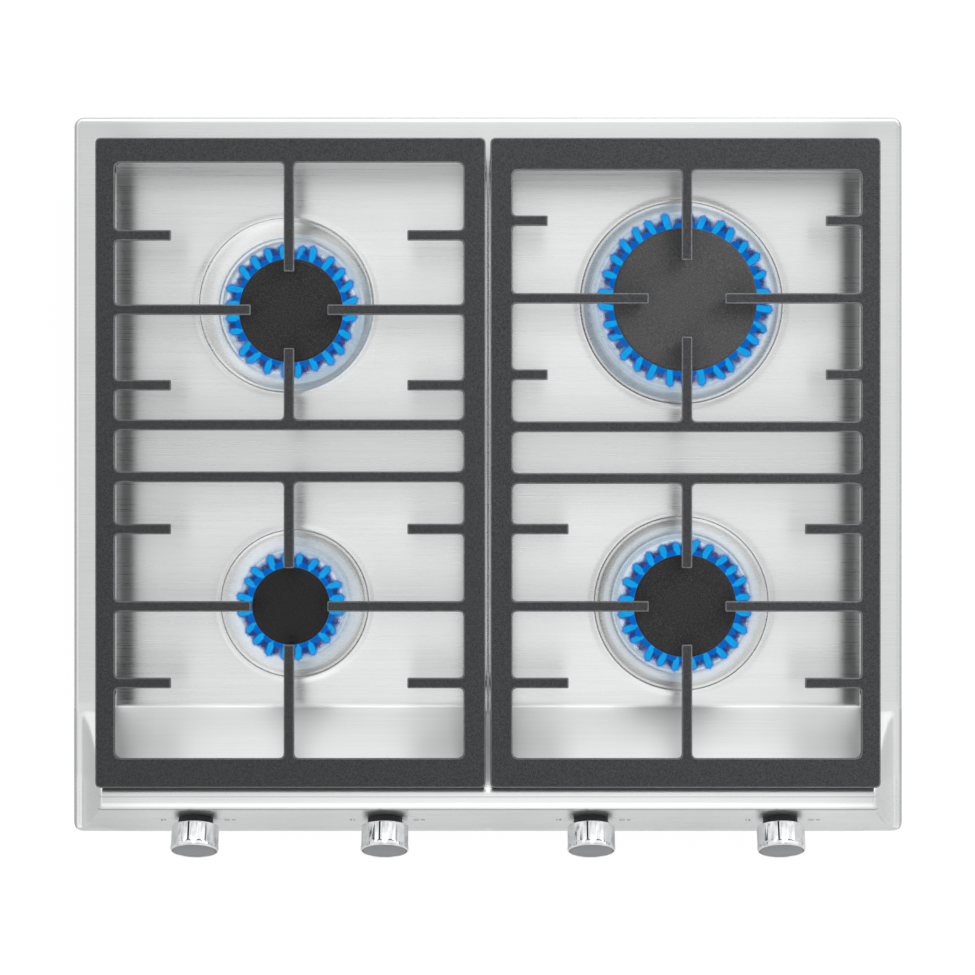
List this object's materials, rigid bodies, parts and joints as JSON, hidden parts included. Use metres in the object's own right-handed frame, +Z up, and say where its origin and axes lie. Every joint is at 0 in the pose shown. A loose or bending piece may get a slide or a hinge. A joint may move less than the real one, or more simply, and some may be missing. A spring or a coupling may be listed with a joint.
{
  "type": "gas cooktop",
  "caption": "Built-in gas cooktop: pressed steel top with a raised sloping control console, cast grates over round capped burners, push-and-turn taps and a shallow gas box below.",
  "frame": {"origin": "centre of the bounding box's underside, which is the flat bottom of the gas box", "axes": "+X to the right along the front, +Y from the knobs to the back, +Z up"},
  "size_m": [0.5916, 0.5266, 0.103],
  "materials": {
    "brushed_steel": "pressed stainless sheet, fine brushing along X, soft mirror of what stands above it",
    "cast_iron": "matt grey-black cast iron with a fine grain, edges a little lighter",
    "black_enamel": "satin black vitreous enamel with a fine grain",
    "cast_aluminium": "cast and turned aluminium, dulled by heat",
    "chrome": "polished chrome",
    "galvanised_steel": "galvanised sheet and tube with a faint spangle",
    "brass": "machined brass, lightly tarnished",
    "black_rubber": "matt black rubber",
    "ceramic": "glazed white insulator",
    "ivory_plastic": "heat-resistant moulded plastic"
  },
  "bodies": {
    "root": {"top_plate": "brushed_steel", "bottom_box": "galvanised_steel", "worktop_seal": "black_rubber", "gas_manifold": "galvanised_steel", "spark_generator": "ivory_plastic", "cable_gland": "black_rubber", "burner_cup_rear_left": "cast_aluminium", "burner_cup_front_left": "cast_aluminium", "burner_cup_rear_right": "cast_aluminium", "burner_cup_front_right": "cast_aluminium", "spark_electrode_rear_left": "ceramic", "spark_electrode_front_left": "ceramic", "spark_electrode_rear_right": "ceramic", "spark_electrode_front_right": "ceramic", "thermocouple_rear_left": "brass", "thermocouple_front_left": "brass", "thermocouple_rear_right": "brass", "thermocouple_front_right": "brass", "gas_tube_rear_left": "cast_aluminium", "gas_tube_front_left": "cast_aluminium", "gas_tube_rear_right": "cast_aluminium", "gas_tube_front_right": "cast_aluminium", "valve_body_rear_left": "brass", "valve_body_front_left": "brass", "valve_body_rear_right": "brass", "valve_body_front_right": "brass", "knob_seal_rear_left": "black_rubber", "knob_seal_front_left": "black_rubber", "knob_seal_rear_right": "black_rubber", "knob_seal_front_right": "black_rubber"},
    "grate_left": {"grate_left": "cast_iron", "grate_foot_left_rear_outer": "black_rubber", "grate_foot_left_rear_inner": "black_rubber", "grate_foot_left_front_outer": "black_rubber", "grate_foot_left_front_inner": "black_rubber"},
    "grate_right": {"grate_right": "cast_iron", "grate_foot_right_rear_outer": "black_rubber", "grate_foot_right_rear_inner": "black_rubber", "grate_foot_right_front_outer": "black_rubber", "grate_foot_right_front_inner": "black_rubber"},
    "burner_head_rear_left": {"burner_head_rear_left": "cast_aluminium"},
    "burner_head_front_left": {"burner_head_front_left": "cast_aluminium"},
    "burner_head_rear_right": {"burner_head_rear_right": "cast_aluminium"},
    "burner_head_front_right": {"burner_head_front_right": "cast_aluminium"},
    "burner_cap_rear_left": {"burner_cap_rear_left": "black_enamel"},
    "burner_cap_front_left": {"burner_cap_front_left": "black_enamel"},
    "burner_cap_rear_right": {"burner_cap_rear_right": "black_enamel"},
    "burner_cap_front_right": {"burner_cap_front_right": "black_enamel"},
    "valve_plug_rear_left": {"valve_plug_rear_left": "brass"},
    "valve_plug_front_left": {"valve_plug_front_left": "brass"},
    "valve_plug_rear_right": {"valve_plug_rear_right": "brass"},
    "valve_plug_front_right": {"valve_plug_front_right": "brass"},
    "knob_rear_left": {"knob_rear_left": "chrome"},
    "knob_front_left": {"knob_front_left": "chrome"},
    "knob_rear_right": {"knob_rear_right": "chrome"},
    "knob_front_right": {"knob_front_right": "chrome"},
    "worktop_clamp_rear_left": {"worktop_clamp_rear_left": "galvanised_steel"},
    "worktop_clamp_rear_right": {"worktop_clamp_rear_right": "galvanised_steel"},
    "worktop_clamp_front_left": {"worktop_clamp_front_left": "galvanised_steel"},
    "worktop_clamp_front_right": {"worktop_clamp_front_right": "galvanised_steel"}
  },
  "joints": [
    {"name": "grate_left_lift", "type": "slide", "parent": "root", "child": "grate_left", "axis": [0, 0, 1], "range_m": [0, 0.15]},
    {"name": "grate_right_lift", "type": "slide", "parent": "root", "child": "grate_right", "axis": [0, 0, 1], "range_m": [0, 0.15]},
    {"name": "burner_head_rear_left_lift", "type": "slide", "parent": "root", "child": "burner_head_rear_left", "axis": [0, 0, 1], "range_m": [0, 0.0375]},
    {"name": "burner_cap_rear_left_lift", "type": "slide", "parent": "burner_head_rear_left", "child": "burner_cap_rear_left", "axis": [0, 0, 1], "range_m": [0, 0.0375]},
    {"name": "burner_head_front_left_lift", "type": "slide", "parent": "root", "child": "burner_head_front_left", "axis": [0, 0, 1], "range_m": [0, 0.0375]},
    {"name": "burner_cap_front_left_lift", "type": "slide", "parent": "burner_head_front_left", "child": "burner_cap_front_left", "axis": [0, 0, 1], "range_m": [0, 0.0375]},
    {"name": "burner_head_rear_right_lift", "type": "slide", "parent": "root", "child": "burner_head_rear_right", "axis": [0, 0, 1], "range_m": [0, 0.0375]},
    {"name": "burner_cap_rear_right_lift", "type": "slide", "parent": "burner_head_rear_right", "child": "burner_cap_rear_right", "axis": [0, 0, 1], "range_m": [0, 0.0375]},
    {"name": "burner_head_front_right_lift", "type": "slide", "parent": "root", "child": "burner_head_front_right", "axis": [0, 0, 1], "range_m": [0, 0.0375]},
    {"name": "burner_cap_front_right_lift", "type": "slide", "parent": "burner_head_front_right", "child": "burner_cap_front_right", "axis": [0, 0, 1], "range_m": [0, 0.0375]},
    {"name": "tap_front_left_turn", "type": "hinge", "parent": "root", "child": "valve_plug_front_left", "pos_m": [-0.2064, -0.23578, 0.07], "axis": [0, -0.9105, 0.4135], "range_deg": [0, 210]},
    {"name": "knob_front_left_push", "type": "slide", "parent": "valve_plug_front_left", "child": "knob_front_left", "axis": [0, 0.9105, -0.4135], "range_m": [0, 0.0035], "stiffness_N_per_m": 800, "springref_m": -0.002},
    {"name": "tap_rear_left_turn", "type": "hinge", "parent": "root", "child": "valve_plug_rear_left", "pos_m": [-0.0727, -0.23578, 0.07], "axis": [0, -0.9105, 0.4135], "range_deg": [0, 210]},
    {"name": "knob_rear_left_push", "type": "slide", "parent": "valve_plug_rear_left", "child": "knob_rear_left", "axis": [0, 0.9105, -0.4135], "range_m": [0, 0.0035], "stiffness_N_per_m": 800, "springref_m": -0.002},
    {"name": "tap_rear_right_turn", "type": "hinge", "parent": "root", "child": "valve_plug_rear_right", "pos_m": [0.0727, -0.23578, 0.07], "axis": [0, -0.9105, 0.4135], "range_deg": [0, 210]},
    {"name": "knob_rear_right_push", "type": "slide", "parent": "valve_plug_rear_right", "child": "knob_rear_right", "axis": [0, 0.9105, -0.4135], "range_m": [0, 0.0035], "stiffness_N_per_m": 800, "springref_m": -0.002},
    {"name": "tap_front_right_turn", "type": "hinge", "parent": "root", "child": "valve_plug_front_right", "pos_m": [0.2064, -0.23578, 0.07], "axis": [0, -0.9105, 0.4135], "range_deg": [0, 210]},
    {"name": "knob_front_right_push", "type": "slide", "parent": "valve_plug_front_right", "child": "knob_front_right", "axis": [0, 0.9105, -0.4135], "range_m": [0, 0.0035], "stiffness_N_per_m": 800, "springref_m": -0.002},
    {"name": "clamp_rear_left_turn", "type": "hinge", "parent": "root", "child": "worktop_clamp_rear_left", "pos_m": [-0.273, 0.15832, 0.008], "axis": [0, 0, -1], "range_deg": [0, 90]},
    {"name": "clamp_rear_right_turn", "type": "hinge", "parent": "root", "child": "worktop_clamp_rear_right", "pos_m": [0.273, 0.15832, 0.008], "axis": [0, 0, 1], "range_deg": [0, 90]},
    {"name": "clamp_front_left_turn", "type": "hinge", "parent": "root", "child": "worktop_clamp_front_left", "pos_m": [-0.273, -0.14167, 0.008], "axis": [0, 0, 1], "range_deg": [0, 90]},
    {"name": "clamp_front_right_turn", "type": "hinge", "parent": "root", "child": "worktop_clamp_front_right", "pos_m": [0.273, -0.14167, 0.008], "axis": [0, 0, -1], "range_deg": [0, 90]}
  ],
  "couplings": [
    {"joint": "burner_head_rear_left_lift", "follows": "grate_left_lift", "ratio": 0.25},
    {"joint": "burner_cap_rear_left_lift", "follows": "grate_left_lift", "ratio": 0.25},
    {"joint": "burner_head_front_left_lift", "follows": "grate_left_lift", "ratio": 0.25},
    {"joint": "burner_cap_front_left_lift", "follows": "grate_left_lift", "ratio": 0.25},
    {"joint": "burner_head_rear_right_lift", "follows": "grate_right_lift", "ratio": 0.25},
    {"joint": "burner_cap_rear_right_lift", "follows": "grate_right_lift", "ratio": 0.25},
    {"joint": "burner_head_front_right_lift", "follows": "grate_right_lift", "ratio": 0.25},
    {"joint": "burner_cap_front_right_lift", "follows": "grate_right_lift", "ratio": 0.25}
  ]
}
